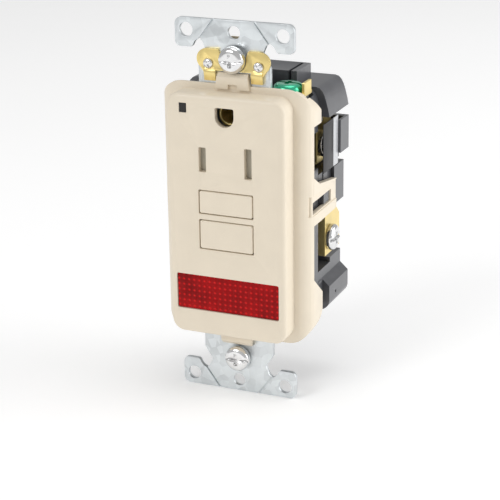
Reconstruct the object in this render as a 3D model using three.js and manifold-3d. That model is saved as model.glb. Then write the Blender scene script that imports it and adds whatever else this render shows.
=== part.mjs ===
// Ground-fault receptacle with a pilot light, as an assembly of separate pieces.
// Millimetres. +X is right seen from the front, +Z is up and the front faces -Y.
// The origin is the centre of the strap's rear face, the plane that rests on the wall box.
import * as THREE from "three";
import { mergeVertices } from "three/addons/utils/BufferGeometryUtils.js";
import Module from "manifold-3d";

const wasm = await Module();
wasm.setup();

// ---------- driving dimensions ----------

const GAP = 0.1; // clearance between pieces that touch
const RUN = 0.3; // clearance round a piece that moves
const PASS = 1; // how far a cutter runs past the face it cuts
const PLATE = 1.2; // strap and terminal plate thickness

const FACE = { halfWidth: 16.6, halfHeight: 33.2, front: -8.2, corner: 3.5, wall: 1.6 };
const FLANGE = { halfWidth: 21.2, halfHeight: 34.9, front: -2, corner: 6.5, roll: 3.6, wall: 1.5 };
const LEG = { low: -2, high: 8.5, rear: 17.8, window: [1.2, 4.5], windowDepth: [0.6, 14] };
const LEG_STEP = { x: 20.2, sideX: 20.95, z: [0.8, 6.3] }; // shallow recess round the leg window
const TAB = { root: 4.75, tip: 4.15, reach: 3.7, front: -2.9 };

const STRAP = { neck: 10.1, body: 14, shoulder: 33, front: -PLATE };
const BRIDGE = 1.4; // half height of the strap's bridge between the two button windows
// The raised pad on the bridge's rear that holds the origin, and how far the rest stands back.
const PAD = { x: [-1.2, 2.4], z: [-0.8, 0.8], step: 0.3, clear: 0.3, depth: 2.4 };
const EAR_HOLE = { x: 13.5, z: 48.4, radius: 1.9 };
const BOX_SCREW_Z = 41.65; // half of the 83.3 mm spacing of box screws
const WALLPLATE_Z = 48.4; // half of the 96.8 mm spacing of wallplate screws
const GROUND_TAB = { x: [8.5, 16.5], z: [30.4, 31.6], rear: 9.2 };
const GROUND_SCREW = { centre: [12.5, 5], head: 4, seat: 32.8 };
const RIVET = { x: 7.05, z: 40.1, hole: 1.25, shank: 1.1, head: 1.75 };

const BLADE = { x: 6.45, z: 15.9, halfWidth: 1.05, hotHalf: 3.35, neutralHalf: 4.13 };
const GROUND_HOLE = { z: 27.75, radius: 2.65, flat: 2.45 };
const TEST = { halfWidth: 7.5, z: [1.3, 7.4], front: -8.35 };
const RESET = { halfWidth: 7.5, z: [-8.5, -0.75], front: -8.35 };
const LENS = { halfWidth: 14.65, z: [-26.3, -16.5] };
const STATUS = { x: [-12.7, -10.75], z: [28.25, 30.65] };

const MIDDLE = { halfWidth: 19.2, z: [-30, 31.6], y: [0.3, 9], corner: 5 };
// The rear housing's upper shoulder, as steps in from its side and down from its top.
const SHOULDER = [[0, 8.5], [0.4, 6.2], [1, 3.8], [1.5, 2.3], [2.1, 1.1], [2.9, 0.3], [3.9, 0]];
const REAR = { halfWidth: 21.2, z: [-30.1, 32.5], y: [9.3, 27.2], wall: 1.6, core: 14.4 };
const RIM = { rear: 12.5, inset: 2 }; // the rear housing's stepped-in front rim
const CROWN = { halfWidth: 12, y: [12.3, 22.5], top: 36.3, slot: [9.6, 10.4] };
const RAMP = { x: 18.9, bend: -20.9, crease: -23 }; // slopes below the line terminals
const BOARD = { halfWidth: 12.2, z: [-28, 30], y: [23.7, 25.3] };

const TERMINAL = { y: 17.5, line: -10.4, load: 15.9, face: 15.9, head: 3.6, shank: 2.05 };
const LINE_HEAD = 19.5; // underside of the backed-out line screw heads
const LOAD_HEAD = 17.1; // underside of the tightened load screw heads

const PIN = { z: -4.65, radius: 1.2 };
const TOROID = { z: -19, outer: 9, inner: 4, length: 4.3 };
const COIL = { y: 18, z: [2.6, 18.4], radius: 4.8 };

const SHUTTER = { x: [4.9, 9], y: [-6.5, -4.6], z: [11.75, 20.05] };

const SIDES = { shank: 16, head: 24, ring: 32, corner: 4 };

// ---------- finishes ----------

const finish = (color, roughness, metalness) => ({ color, roughness, metalness });
const IVORY = finish(0xe6dcc8, 0.45, 0);
const BLACK = finish(0x1b1b1d, 0.5, 0);
const ZINC = finish(0xc3c8cc, 0.35, 0.9);
const BRASS = finish(0xc89b3c, 0.3, 1);
const STEEL = finish(0xb4b6b8, 0.3, 1);
const GREEN = finish(0x0f8a4c, 0.35, 0.6);
const RED = finish(0xa80f14, 0.2, 0);
const WHITE = finish(0xeeeeea, 0.5, 0);
const GREY = finish(0x8f908c, 0.5, 0);
const CLEAR = finish(0x2a2a2a, 0.1, 0);
const COPPER = finish(0xb5672f, 0.35, 0.9);
const BOARD_GREEN = finish(0x1f5c33, 0.5, 0);
const FERRITE = finish(0x33363b, 0.7, 0);
const BLUE = finish(0x1d4fa0, 0.4, 0);
const NYLON = finish(0xd8d6cc, 0.5, 0);
const FIBRE = finish(0x9a8f7a, 0.9, 0);

// ---------- solid helpers ----------

// A manifold solid from a closed three.js geometry, facing out.
function solid(geometry) {
  const bare = geometry.index ? geometry.toNonIndexed() : geometry.clone();
  bare.deleteAttribute("normal");
  bare.deleteAttribute("uv");
  const merged = mergeVertices(bare, 1e-4);
  const index = Array.from(merged.index.array);
  const make = (flip) => {
    const triVerts = [];
    for (let i = 0; i < index.length; i += 3) {
      const [a, b, c] = index.slice(i, i + 3);
      if (a === b || b === c || c === a) continue;
      triVerts.push(a, flip ? c : b, flip ? b : c);
    }
    const vertProperties = merged.attributes.position.array;
    return new wasm.Manifold(new wasm.Mesh({
      numProp: 3,
      vertProperties,
      triVerts: new Uint32Array(triVerts),
    }));
  };
  const made = make(false);
  return made.volume() < 0 ? make(true) : made;
}

// Joins a list of solids.
const join = (...solids) => solids.flat().reduce((whole, next) => whole.add(next));

// Cuts every cutter out of a solid.
const cut = (whole, ...cutters) => cutters.flat().reduce((left, next) => left.subtract(next), whole);

// Builds a solid on the right (+1) and the left (-1).
const bothSides = (make) => [1, -1].map(make);

// A range along X, mirrored to the left when side is -1.
const across = (side, [from, to]) => (side > 0 ? [from, to] : [-to, -from]);

// A block from its ranges along X, Y and Z.
function block([x0, x1], [y0, y1], [z0, z1]) {
  const geometry = new THREE.BoxGeometry(x1 - x0, y1 - y0, z1 - z0);
  geometry.translate((x0 + x1) / 2, (y0 + y1) / 2, (z0 + z1) / 2);
  return solid(geometry);
}

const vector = (x, y, z) => new THREE.Vector3(x, y, z);

// Turns an extrusion so that its depth runs along the named axis. An outline is drawn
// in (y, z) for X, in (x, z) for Y and in (x, y) for Z.
const BASES = {
  x: new THREE.Matrix4().makeBasis(vector(0, 1, 0), vector(0, 0, 1), vector(1, 0, 0)),
  y: new THREE.Matrix4().makeBasis(vector(1, 0, 0), vector(0, 0, 1), vector(0, -1, 0)),
  z: new THREE.Matrix4(),
};
const ALONG = { x: vector(1, 0, 0), y: vector(0, 1, 0), z: vector(0, 0, 1) };

// An outline made thick along an axis, from one height to another.
function slab(axis, outline, [from, to]) {
  const options = { depth: to - from, bevelEnabled: false, curveSegments: SIDES.corner };
  const geometry = new THREE.ExtrudeGeometry(outline, options).applyMatrix4(BASES[axis]);
  const start = ALONG[axis].clone().multiplyScalar(axis === "y" ? to : from);
  return solid(geometry.translate(start.x, start.y, start.z));
}

// A straight-sided outline.
const outlineOf = (points) => new THREE.Shape(points.map(([a, b]) => new THREE.Vector2(a, b)));

// A rectangle with rounded corners.
function rounded([a0, a1], [b0, b1], radius) {
  const shape = new THREE.Shape();
  shape.absarc(a1 - radius, b0 + radius, radius, -Math.PI / 2, 0);
  shape.absarc(a1 - radius, b1 - radius, radius, 0, Math.PI / 2);
  shape.absarc(a0 + radius, b1 - radius, radius, Math.PI / 2, Math.PI);
  shape.absarc(a0 + radius, b0 + radius, radius, Math.PI, 1.5 * Math.PI);
  shape.closePath();
  return shape;
}

// Puts a shape that was turned round +Y onto the named axis, at a place across that axis.
function stand(geometry, axis, [a, b]) {
  if (axis === "x") return geometry.rotateZ(-Math.PI / 2).translate(0, a, b);
  if (axis === "z") return geometry.rotateX(Math.PI / 2).translate(a, b, 0);
  return geometry.translate(a, 0, b);
}

// A round bar along an axis; centre is (y, z) for X, (x, z) for Y and (x, y) for Z.
function rod(axis, centre, [from, to], radius, sides = SIDES.shank) {
  const geometry = new THREE.CylinderGeometry(radius, radius, to - from, sides);
  geometry.translate(0, (from + to) / 2, 0);
  return solid(stand(geometry, axis, centre));
}

// A ring with a square section.
function ring(axis, centre, range, outer, inner, sides = SIDES.ring) {
  const hole = [range[0] - PASS, range[1] + PASS];
  return cut(rod(axis, centre, range, outer, sides), rod(axis, centre, hole, inner, sides));
}

// A turned piece: profile points are (radius, distance along the axis), axis to axis.
function turned(axis, centre, profile, sides = SIDES.head) {
  const points = profile.map(([r, t]) => new THREE.Vector2(r, t));
  return solid(stand(new THREE.LatheGeometry(points, sides), axis, centre));
}

class Helix extends THREE.Curve {
  constructor(at, turns) {
    super();
    this.at = at;
    this.turns = turns;
  }

  getPoint(t, target = new THREE.Vector3()) {
    return target.copy(this.at(t, 2 * Math.PI * this.turns * t));
  }
}

// A coil spring; at(t, angle) gives the wire's centre along its length.
function coilSpring(at, turns, wire) {
  const section = new THREE.Shape().absarc(0, 0, wire, 0, 2 * Math.PI);
  const options = {
    steps: Math.round(turns * 10),
    curveSegments: 3,
    bevelEnabled: false,
    extrudePath: new Helix(at, turns),
  };
  return solid(new THREE.ExtrudeGeometry(section, options));
}

// ---------- cover, strap and housings ----------

// The flange's section across the device: flat in front, rolling back into the side walls.
function flangeSection(rear) {
  const shape = new THREE.Shape();
  const { halfWidth, front, roll } = FLANGE;
  shape.moveTo(-halfWidth, rear);
  shape.absarc(roll - halfWidth, front + roll, roll, Math.PI, 1.5 * Math.PI);
  shape.absarc(halfWidth - roll, front + roll, roll, 1.5 * Math.PI, 2 * Math.PI);
  shape.lineTo(halfWidth, rear);
  shape.closePath();
  return shape;
}

// The cover's side wall seen from the side: notches at the terminals and a snap leg between.
const coverSide = () => outlineOf([
  [FLANGE.front - PASS, 35], [-1.2, 34.9], [6.2, 28.3], [6.2, 24.9], [1.1, 24.9], [1.1, 11.1],
  [5.2, LEG.high], [LEG.rear, 6.5], [LEG.rear, -1.8], [5, LEG.low], [1.1, LEG.low],
  [1.1, -17.2], [7.3, -22.5], [7.3, -27.6], [5.5, -30.1], [-1.2, -34.9], [FLANGE.front - PASS, -35],
]);

function coverBody() {
  const { halfWidth, halfHeight, front, corner } = FACE;
  const face = slab("y", rounded([-halfWidth, halfWidth], [-halfHeight, halfHeight], corner),
    [front, FLANGE.front + GAP]);
  const height = [-FLANGE.halfHeight, FLANGE.halfHeight];
  const width = [-FLANGE.halfWidth, FLANGE.halfWidth];
  const flange = slab("z", flangeSection(LEG.rear), height)
    .intersect(slab("y", rounded(width, height, FLANGE.corner), [-PASS + FLANGE.front, LEG.rear]))
    .intersect(slab("x", coverSide(), [width[0] - PASS, width[1] + PASS]));
  return join(face, flange);
}

// The tabs that run out over the strap above and below the face.
function strapTab(up) {
  const root = FLANGE.halfHeight - 1;
  const tip = FLANGE.halfHeight + TAB.reach - (up > 0 ? 0.6 : 1);
  const outline = outlineOf([
    [-TAB.root, up * root], [TAB.root, up * root], [TAB.tip, up * tip], [-TAB.tip, up * tip],
  ]);
  return slab("y", outline, [TAB.front, STRAP.front - GAP]);
}

function coverHollow() {
  const inside = FACE.halfWidth - FACE.wall;
  const wallInside = FLANGE.halfWidth - FLANGE.wall;
  const end = FLANGE.halfHeight + PASS;
  const past = LEG.rear + PASS;
  return [
    block([-inside, inside], [FACE.front + FACE.wall, 0], [FACE.wall - FACE.halfHeight, 31.6]),
    block([-17, 17], [STRAP.front - 0.05, past], [-end, end]),
    block([-wallInside, wallInside], [GAP, past], [-end, end]),
  ];
}

function coverOpenings() {
  const depth = [FACE.front - PASS, FACE.front + FACE.wall + PASS];
  const { x, z, halfWidth, hotHalf, neutralHalf } = BLADE;
  const bladeSlot = (side, half) => block(
    [side * x - halfWidth, side * x + halfWidth], depth, [z - half, z + half]);
  const buttonHole = (button) => block([-button.halfWidth - RUN, button.halfWidth + RUN], depth,
    [button.z[0] - RUN, button.z[1] + RUN]);
  const { radius, flat } = GROUND_HOLE;
  const pin = join(
    cut(rod("y", [0, GROUND_HOLE.z], depth, radius, SIDES.head),
      block([-4, 4], depth, [GROUND_HOLE.z, GROUND_HOLE.z + 4])),
    block([-radius, radius], depth, [GROUND_HOLE.z, GROUND_HOLE.z + flat]));
  const lens = block([-LENS.halfWidth - GAP, LENS.halfWidth + GAP], depth,
    [LENS.z[0] - GAP, LENS.z[1] + GAP]);
  const status = block([STATUS.x[0] - GAP, STATUS.x[1] + GAP], depth,
    [STATUS.z[0] - GAP, STATUS.z[1] + GAP]);
  return [bladeSlot(-1, hotHalf), bladeSlot(1, neutralHalf), pin, buttonHole(TEST),
    buttonHole(RESET), lens, status];
}

// The window in each snap leg, and the shallow recess that runs to it from the flange's front.
function legOpenings(side) {
  const out = FLANGE.halfWidth + PASS;
  return [
    block(across(side, [19, out]), LEG.windowDepth, LEG.window),
    block(across(side, [LEG_STEP.x, out]), [FLANGE.front - PASS, 0], LEG_STEP.z),
    block(across(side, [LEG_STEP.sideX, out]), [-PASS, LEG.rear + PASS], LEG_STEP.z),
  ];
}

function faceCover() {
  const legs = [1, -1].flatMap(legOpenings);
  return join(cut(coverBody(), coverHollow(), coverOpenings(), legs), strapTab(1), strapTab(-1));
}

// The right half of the strap's outline at one end, from the middle line outward and down.
const STRAP_HALF = [
  [5.4, 51.6], [6.1, 51.6], [14.7, 51.6], [16.1, 51], [16.7, 49.6], [16.7, 45.5], [16.2, 44.4],
  [15.1, 43.9], [11.9, 43.9], [10.6, 45.1], [9.6, 46.2], [8.7, 45.3], [8.2, 44], [7.5, 43.4],
  [9.4, 40.9], [10.1, 40], [10.1, 35.2],
];

function strapOutline() {
  const { neck, body, shoulder } = STRAP;
  const right = [...STRAP_HALF,
    [neck, shoulder], [body, shoulder], [body, -shoulder], [neck, -shoulder],
    ...STRAP_HALF.toReversed().map(([x, z]) => [x, -z])];
  return outlineOf([...right, ...right.toReversed().map(([x, z]) => [-x, z])]);
}

function mountingStrap() {
  const deep = [STRAP.front - PASS, PASS];
  const sheet = slab("y", strapOutline(), [STRAP.front, 0]);
  const tab = join(
    block(GROUND_TAB.x, [STRAP.front, GROUND_TAB.rear], GROUND_TAB.z),
    block([12, GROUND_TAB.x[1]], [STRAP.front, 0], [28.6, GROUND_TAB.z[1]]));
  const ends = [1, -1].flatMap((up) => [
    rod("y", [0, up * BOX_SCREW_Z], deep, 2.3),
    rod("y", [0, up * WALLPLATE_Z], deep, 1.75),
    ...bothSides((side) => rod("y", [side * EAR_HOLE.x, up * EAR_HOLE.z], deep, EAR_HOLE.radius)),
  ]);
  const windows = [
    block([-9.6, 9.6], deep, [9.4, 22.6]),
    block([-9, 9], deep, [-10, -BRIDGE]),
    cut(block([-9, 9], [-PAD.step, PASS], [-2, 2]), block(PAD.x, [-1, 1], PAD.z)),
    block([-9, 9], deep, [BRIDGE, 8]),
    block([-11, 11], deep, [-26, -17]),
    rod("y", [0, GROUND_HOLE.z], deep, 3.6),
    block([-13.2, -10.2], deep, [27.8, 31.1]),
    ...bothSides((side) => rod("y", [side * RIVET.x, RIVET.z], deep, RIVET.hole)),
    rod("z", GROUND_SCREW.centre, [GROUND_TAB.z[0] - PASS, GROUND_TAB.z[1] + PASS], 2.3),
  ];
  return cut(join(sheet, tab), ends, windows);
}

function middleHousing() {
  const { halfWidth, z, y } = MIDDLE;
  const front = y[0] - PASS;
  const floor = 7.2;
  const through = y[1] + PASS;
  const body = slab("y", rounded([-halfWidth, halfWidth], z, MIDDLE.corner), y);
  const pockets = [
    block([PAD.x[0] - PAD.clear, PAD.x[1] + PAD.clear], [front, PAD.depth],
      [PAD.z[0] - PAD.clear, PAD.z[1] + PAD.clear]),
    block([-10, 10], [front, floor], [9, 22.6]),
    block([-9.2, 9.2], [front, 4.4], [1.6, 8]),
    block([-4.6, 4.6], [front, floor], [24, 31.1]),
    block([-13.4, -10], [front, floor], [27.6, 31]),
    rod("y", [0, PIN.z], [front, through], 1.6),
    block([8, 17.2], [front, through], [30, z[1] + PASS]),
    rod("z", GROUND_SCREW.centre, [26, z[1] + PASS], 2.5),
    ...[1, -1].map((up) => block([-15, 15], [front, through], up > 0 ? [32, 33] : [-31, -29.5])),
  ];
  const tails = bothSides((side) => [
    block(across(side, [9.9, 12.4]), [front + 4, floor], [16.8, 20.2]),
    block(across(side, [10.8, 12.4]), [floor - GAP, through], [16.8, 20.2]),
  ]).flat();
  const bays = bothSides((side) => block(across(side, [17.4, halfWidth + PASS]),
    [y[0] - PASS, through], [11.5, 21.5]));
  return cut(body, pockets, tails, bays);
}

// The rear housing's outline from the front, with rounded shoulders, drawn in by an inset.
function rearOutline(inset) {
  const shape = new THREE.Shape();
  const halfWidth = REAR.halfWidth - inset;
  const [low, high] = [REAR.z[0] + inset / 4, REAR.z[1] - inset / 4];
  const foot = 3;
  const shoulder = SHOULDER.map(([x, z]) => [halfWidth - x, high - z]);
  shape.absarc(halfWidth - foot, low + foot, foot, -Math.PI / 2, 0);
  shoulder.forEach(([x, z]) => shape.lineTo(x, z));
  shoulder.toReversed().forEach(([x, z]) => shape.lineTo(-x, z));
  shape.absarc(foot - halfWidth, low + foot, foot, Math.PI, 1.5 * Math.PI);
  shape.closePath();
  return shape;
}

// Cuts that open one side of the rear housing at its terminals.
function terminalBays(side) {
  const out = REAR.halfWidth + PASS;
  const { core, y } = REAR;
  const front = y[0] - PASS;
  const past = y[1] + PASS;
  const legRear = LEG.rear + RUN;
  const midSide = 20.4;
  const shankHole = (z) => rod("x", [TERMINAL.y, z], side > 0 ? [12, 15] : [-15, -12], 2.6);
  const loadBay = [
    block(across(side, [core, out]), [front, y[1] - REAR.wall], [9.5, 23.5]),
    block(across(side, [core, out]), [RIM.rear, past], [21.7, 24.6]),
    block(across(side, [12, out]), [front, 10.5], [21.7, 24.3]),
    block(across(side, [core + 4, out]), [21.2, past], [9.5, 12.6]),
  ];
  const middle = [
    block(across(side, [19.4, out]), [front, legRear], [-2.3, 9.6]),
    block(across(side, [midSide, out]), [legRear - GAP, past], [-2.3, 9.6]),
    block(across(side, [12, out]), [25.5, past], [-2.3, 9.6]),
  ];
  const lineBay = [
    block(across(side, [core, out]), [front, 19], [-18.3, -2.2]),
    block(across(side, [core, out]), [18, past], [-17, -1.2]),
    block(across(side, [12, TERMINAL.face + RUN]), [22.1, 23.5], [-20.7, -16.9]),
    block(across(side, [core, TERMINAL.face + RUN]), [19.7, 23.5], [-20.7, -16.9]),
  ];
  return [loadBay, middle, lineBay, slope(side), shankHole(TERMINAL.line), shankHole(TERMINAL.load)].flat();
}

// The cutter that leaves a vertical face and a slope above the lower corner of one side.
function slope(side) {
  const { x, bend, crease } = RAMP;
  const out = REAR.halfWidth + PASS;
  const outline = outlineOf([
    [side * x, -16], [side * x, bend], [side * REAR.halfWidth, crease], [side * out, crease],
    [side * out, -16],
  ]);
  return slab("y", outline, [REAR.y[0] - PASS, REAR.y[1] + PASS]);
}

function rearHousing() {
  const { halfWidth, z, y, wall, core } = REAR;
  const crown = cut(
    block([-CROWN.halfWidth, CROWN.halfWidth], CROWN.y, [z[1] - 2, CROWN.top]),
    bothSides((side) => block(across(side, CROWN.slot), CROWN.y.map((at) => at - PASS), [z[1] + 1, 40])));
  const rim = slab("y", rearOutline(RIM.inset), y);
  const shell = join(rim, slab("y", rearOutline(0), [RIM.rear, y[1]]), crown);
  const inside = block([wall - core, core - wall], [y[0] - PASS, y[1] - wall], [-28.5, 31]);
  const recess = block([8, 17.2], [y[0] - PASS, 11], [30, z[1] + PASS]);
  const bays = [1, -1].flatMap(terminalBays);
  const flapHeight = [12.6, 21.7];
  const flaps = bothSides((side) => block(across(side, [20.4, halfWidth]), [20.9, y[1]], flapHeight));
  const flapRoots = bothSides((side) => block(
    across(side, [core - 1, halfWidth]), [y[1] - wall, y[1]], flapHeight));
  const hooks = bothSides((side) => join(
    block(across(side, [18, 20.6]), [9.6, 13.4], [1.5, 4.2]),
    block(across(side, [18, 19.4]), [9.3, 13.4], [1.5, 4.2])));
  return join(cut(shell, inside, recess, bays), flaps, flapRoots, hooks);
}

// ---------- buttons, lamp and shutters ----------

function testButton() {
  const { halfWidth, z, front } = TEST;
  const cap = block([-halfWidth, halfWidth], [front, -4.6], z);
  const lip = block([-halfWidth - 1, halfWidth + 1], [-6.5, -5.4], [z[0] - 0.1, z[1] + 0.9]);
  return join(cap, lip, rod("y", [3, 4.3], [-4.7, 0.3], 1.3));
}

function resetButton() {
  const { halfWidth, z, front } = RESET;
  const cap = block([-halfWidth, halfWidth], [front, -4.2], z);
  const lip = block([-halfWidth - 1, halfWidth + 1], [-5.3, -4.2], [z[0] - 0.9, z[1]]);
  return cut(join(cap, lip), rod("y", [0, PIN.z], [-5.2, -4], 1.3));
}

const resetPin = () => turned("y", [0, PIN.z], [
  [0, -5.1], [PIN.radius, -5.1], [PIN.radius, 13.6], [0.8, 13.8], [0.8, 14.6],
  [PIN.radius, 14.9], [PIN.radius, 15.6], [0.4, 16.2], [0, 16.2],
], SIDES.shank);

const resetSpring = () => coilSpring(
  (t, a) => vector(2.2 * Math.cos(a), -3.8 + 3.7 * t, PIN.z + 2.2 * Math.sin(a)), 4, 0.3);

const testBlade = () => block([-8.4, 7], [0.5, 0.9], [3.2, 5.4]);

function pilotLens() {
  const { halfWidth, z } = LENS;
  const pane = block([-halfWidth, halfWidth], [FACE.front, -6], z);
  const lip = block([-halfWidth, halfWidth], [-6.5, -5.8], [z[0] - 0.8, z[1] + 0.8]);
  return join(pane, lip);
}

function pilotReflector() {
  const { halfWidth, z } = LENS;
  const box = block([0.4 - halfWidth, halfWidth - 0.4], [-5.7, -1.5], z);
  const basin = block([1.4 - halfWidth, halfWidth - 1.4], [-6.7, -2.3], [z[0] + 1, z[1] - 1]);
  return cut(box, basin);
}

const pilotLamp = () => rod("x", [-3.9, -21.4], [-9, 4], 1.4, SIDES.shank);

const statusPipe = () => block(STATUS.x, [FACE.front, 3.8], STATUS.z);

const statusLed = () => block([-12.9, -10.6], [4, 7], [28.2, 30.6]);

function shutterFrame() {
  const tray = block([-11, 11], [-4.4, -2.6], [10.9, 20.9]);
  const rails = [[10.9, 11.6], [20.2, 20.9]].map((z) => block([-11, 11], [-6.5, -4.3], z));
  const bladeGaps = bothSides((side) => block(
    across(side, [5.1, 7.8]), [-7, -2], [11.7, 20.1]));
  return cut(join(tray, rails), bladeGaps);
}

const shutter = (side) => block(across(side, SHUTTER.x), SHUTTER.y, SHUTTER.z);

const shutterSpring = () => coilSpring(
  (t, a) => vector(-4.5 + 9 * t, -5.5 + 0.6 * Math.cos(a), BLADE.z + 0.6 * Math.sin(a)), 6, 0.2);

// ---------- contacts and terminals ----------

// A face contact: two sprung leaves that take a plug blade, on a foot with a tail.
function faceContact(side) {
  const height = [12.8, 19];
  const leaf = (x) => block(across(side, x), [-2.2, 6.3], height);
  const foot = block(across(side, [4.6, 12.1]), [6.1, 6.8], [17.2, 19]);
  const base = block(across(side, [4.6, 8.3]), [6.1, 6.8], height);
  const tail = block(across(side, [11.3, 12.1]), [6.1, 9.2], [17.2, 19]);
  return join(leaf([4.6, 5.1]), leaf([7.8, 8.3]), base, foot, tail);
}

function groundContact() {
  const cup = ring("y", [0, GROUND_HOLE.z], [-4.5, 5], 3.1, 2.55, SIDES.head);
  return cut(cup, block([-0.5, 0.5], [-5, 4], [GROUND_HOLE.z, 32]));
}

// A terminal plate with its tapped hole; foot is the strip that carries the current inward.
function terminal(side, z, foot) {
  const plate = block(across(side, [TERMINAL.face - PLATE, TERMINAL.face]), [15.2, 24], z.plate);
  const hole = rod("x", [TERMINAL.y, z.screw], [-17, 17], 2.25);
  return join(cut(plate, hole), foot);
}

function loadTerminal(side) {
  const x = [TERMINAL.face - PLATE, TERMINAL.face];
  const foot = join(
    block(across(side, x), [9.3, 24], [21.4, 23.2]),
    block(across(side, [7.4, x[1]]), [9.3, 10.1], [21.9, 23.2]),
    block(across(side, [8.6, 12.4]), [9.3, 10.1], [2.4, 23.2]));
  return terminal(side, { screw: TERMINAL.load, plate: [10, 21.5] }, foot);
}

function lineTerminal(side) {
  const x = [TERMINAL.face - PLATE, TERMINAL.face];
  const riser = block(across(side, x), [20, 23.2], [-20.4, -15.5]);
  const bus = block(across(side, [1.3, x[1]]), [22.4, 23.2], [-20.4, -17.6]);
  const leg = block(across(side, [1.3, 2.5]), [11.7, 23.2], [-20.4, -17.6]);
  return terminal(side, { screw: TERMINAL.line, plate: [-16.2, -4] }, join(riser, bus, leg));
}

// A moving contact arm: a sprung blade with a contact button at its free end.
function contactArm(side) {
  const blade = join(
    block(across(side, [1.3, 12]), [10.9, 11.4], [-20.4, -17.6]),
    block(across(side, [9.4, 12]), [10.9, 11.4], [-18, 6]));
  return join(blade, rod("y", [side * 10.7, 4], [10.25, 11], 1.2));
}

// A wire clamp plate under a terminal screw's head, with one edge bent in round the wire.
function wireClamp(side, z, head) {
  const x = [head - 1.1, head - GAP];
  const outline = outlineOf([[14, z - 4.6], [25, z - 4.6], [25, z + 4.8], [22.5, z + 7.2], [14, z + 7.2]]);
  const plate = slab("x", outline, across(side, x));
  const lip = block(across(side, [x[0] - 1.1, x[1]]), [14, 14.9], [z - 4.6, z + 5.2]);
  const hole = rod("x", [TERMINAL.y, z], [-22, 22], 2.3);
  return cut(join(plate, lip), hole);
}

// A terminal screw: a domed head with a cross slot on a plain shank.
function terminalScrew(side, z, head) {
  const end = TERMINAL.face - 1;
  const top = head + 2;
  const profile = [
    [0, head - 4.7], [TERMINAL.shank - 0.4, head - 4.7], [TERMINAL.shank, head - 4.2],
    [TERMINAL.shank, head], [TERMINAL.head, head], [TERMINAL.head, top - 0.6],
    [TERMINAL.head - 0.9, top], [0, top],
  ].map(([r, t]) => [r, side * t]);
  const slot = across(side, [Math.max(top - 0.9, end), top + PASS]);
  return cut(turned("x", [TERMINAL.y, z], profile),
    block(slot, [TERMINAL.y - 4, TERMINAL.y + 4], [z - 0.5, z + 0.5]),
    block(slot, [TERMINAL.y - 1.6, TERMINAL.y + 1.6], [z - 0.5, z + 0.5]),
    block(slot, [TERMINAL.y - 0.5, TERMINAL.y + 0.5], [z - 1.6, z + 1.6]));
}

const loadTape = (side) => block(across(side, [20.3, 20.5]), [9.7, 20.8], [9.8, 23.2]);

function groundClamp() {
  const plate = block([9, 17.5], [1, 9], [31.9, 32.7]);
  const edge = block([16.9, 17.6], [3.4, 8.4], [31.9, 35.6]);
  const hole = rod("z", GROUND_SCREW.centre, [30, 34], 2.3);
  return cut(join(plate, edge), hole);
}

function groundScrew() {
  const { centre, head, seat } = GROUND_SCREW;
  const top = seat + 2.3;
  const body = turned("z", centre, [
    [0, 28], [1.7, 28], [2.05, 28.5], [2.05, seat], [head, seat], [head, top - 0.5],
    [head - 0.8, top], [0, top],
  ]);
  const deep = [top - 0.9, top + PASS];
  return cut(body, block([8, 17], [4.5, 5.5], deep), block([12, 13], [3.4, 6.6], deep));
}

// ---------- strap hardware ----------

// The self-grounding clip: two lobes round the screw, with legs that run down over the strap.
function groundingClip() {
  const plate = slab("y", outlineOf([
    [-10.2, 40.6], [-9.6, 38.6], [-8.2, 37.8], [-8.2, 35.6], [-5, 35.6], [-5, 37.6],
    [-3.6, 38.4], [3.6, 38.4], [5, 37.6], [5, 35.6], [8.2, 35.6], [8.2, 37.8], [9.6, 38.6],
    [10.2, 40.6], [9.6, 42.8], [7.9, 44], [5.4, 43.8], [3.6, 42.6], [-3.6, 42.6],
    [-5.4, 43.8], [-7.9, 44], [-9.6, 42.8],
  ]), [-1.85, -1.25]);
  const gap = block([-2.6, 2.6], [-3, 0], [BOX_SCREW_Z, 45]);
  const rivets = bothSides((side) => rod("y", [side * RIVET.x, RIVET.z], [-3, 0], RIVET.hole));
  return cut(plate, rod("y", [0, BOX_SCREW_Z], [-3, 0], 2.6), gap, rivets);
}

const clipRivet = (side) => turned("y", [side * RIVET.x, RIVET.z], [
  [0, -2.7], [RIVET.head - 0.5, -2.7], [RIVET.head, -2.3], [RIVET.head, -1.95],
  [RIVET.shank, -1.95], [RIVET.shank, 0.1], [RIVET.head, 0.1], [RIVET.head, 0.5], [0, 0.5],
], SIDES.shank);

function mountingScrew(up, seat) {
  const z = up * BOX_SCREW_Z;
  const top = seat - 2.5;
  const body = turned("y", [0, z], [
    [0, top], [2.3, top + 0.2], [3.55, top + 1.2], [3.55, seat - 0.6], [2.05, seat], [1.7, seat],
    [1.7, 17], [1, 18], [0, 18],
  ]);
  const deep = [top - PASS, top + 1.1];
  const slot = block([-4, 4], deep, [z - 0.45, z + 0.45]);
  return cut(body, slot, block([-0.45, 0.45], deep, [z - 1.7, z + 1.7]));
}

function screwWasher(up) {
  const z = up * BOX_SCREW_Z;
  const plate = block([-4.2, 4.2], [6.4, 7.2], up > 0 ? [z - 3.4, z + 4] : [z - 4, z + 3.4]);
  return cut(plate, rod("y", [0, z], [5, 9], 1.8));
}

// ---------- fault sensing and trip mechanism ----------

const toroid = (y) => ring("y", [0, TOROID.z], [y, y + TOROID.length], TOROID.outer, TOROID.inner);

function transformerBoat() {
  const tube = rod("y", [0, TOROID.z], [12.2, 21.9], 3.9, SIDES.head);
  const disc = rod("y", [0, TOROID.z], [16.75, 17.05], TOROID.outer, SIDES.head);
  return cut(join(tube, disc), rod("y", [0, TOROID.z], [11, 23], 3.4, SIDES.head));
}

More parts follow.
